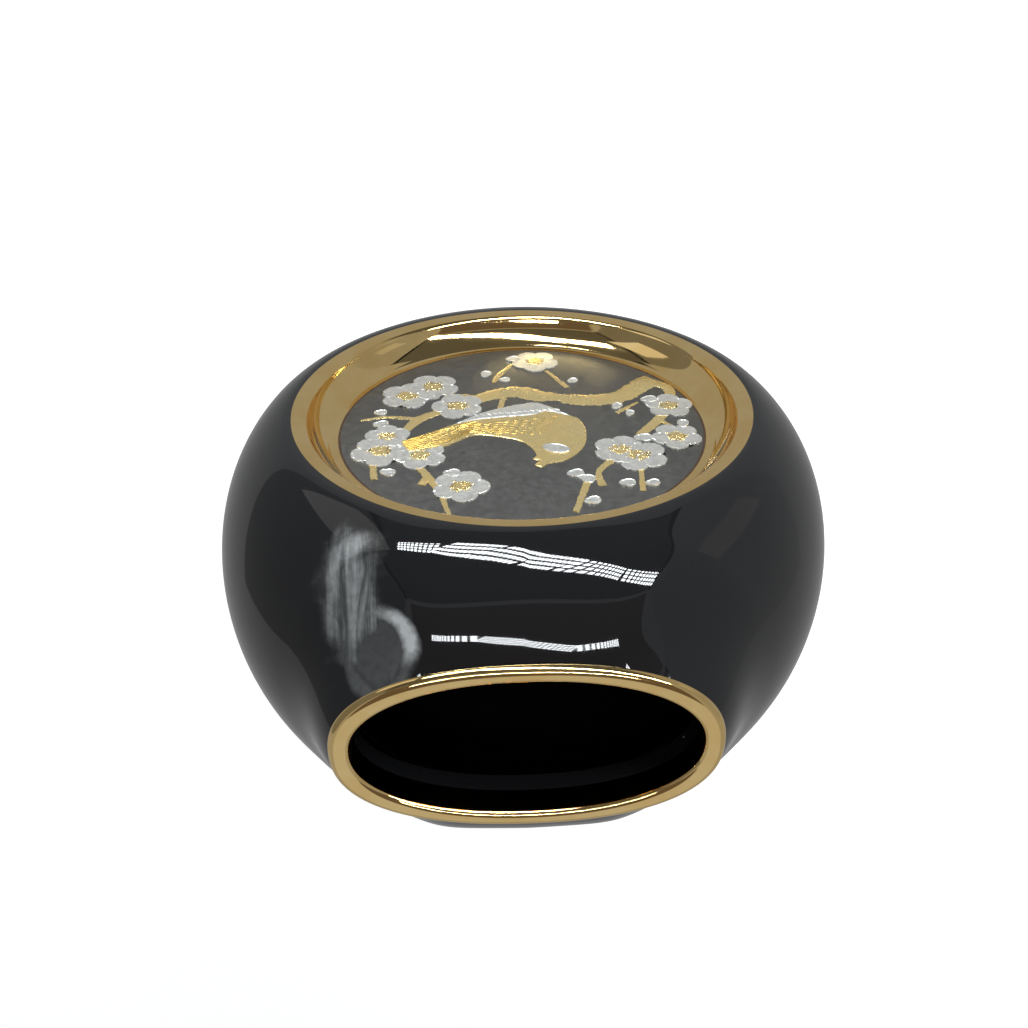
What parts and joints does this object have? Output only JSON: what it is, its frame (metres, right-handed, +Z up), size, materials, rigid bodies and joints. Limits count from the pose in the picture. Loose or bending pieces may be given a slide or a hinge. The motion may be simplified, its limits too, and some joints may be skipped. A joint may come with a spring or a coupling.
{
  "type": "pillow vase",
  "caption": "Black glazed pillow-shaped vase with a gold-lustred oval mouth and a round metal plaque of a bird on a plum branch set in a gold dish.",
  "frame": {"origin": "centre of the foot's underside, on the surface the vase stands on", "axes": "+Z up through the mouth, the plaque faces -Y, +X across the vase to the right as seen from the front"},
  "size_m": [0.1188, 0.0626, 0.1188],
  "materials": {
    "black_glaze": "jet-black high-gloss glaze on earthenware",
    "gold_lustre": "mirror-bright fired gold lustre",
    "plaque_metal": "dark gunmetal satin plating",
    "adhesive": "thin brown adhesive film",
    "gold_plating": "engraved satin gold plating",
    "silver_plating": "engraved satin silver plating"
  },
  "bodies": {
    "root": {"vase_body": "black_glaze", "mouth_lustre": "gold_lustre", "dish_lustre": "gold_lustre", "plaque_disc": "plaque_metal", "plaque_adhesive": "adhesive", "bird_gilding": "gold_plating", "bird_silvering": "silver_plating", "branch_gilding": "gold_plating", "blossom_silvering": "silver_plating", "bud_silvering": "silver_plating", "stamen_gilding": "gold_plating"}
  },
  "joints": []
}
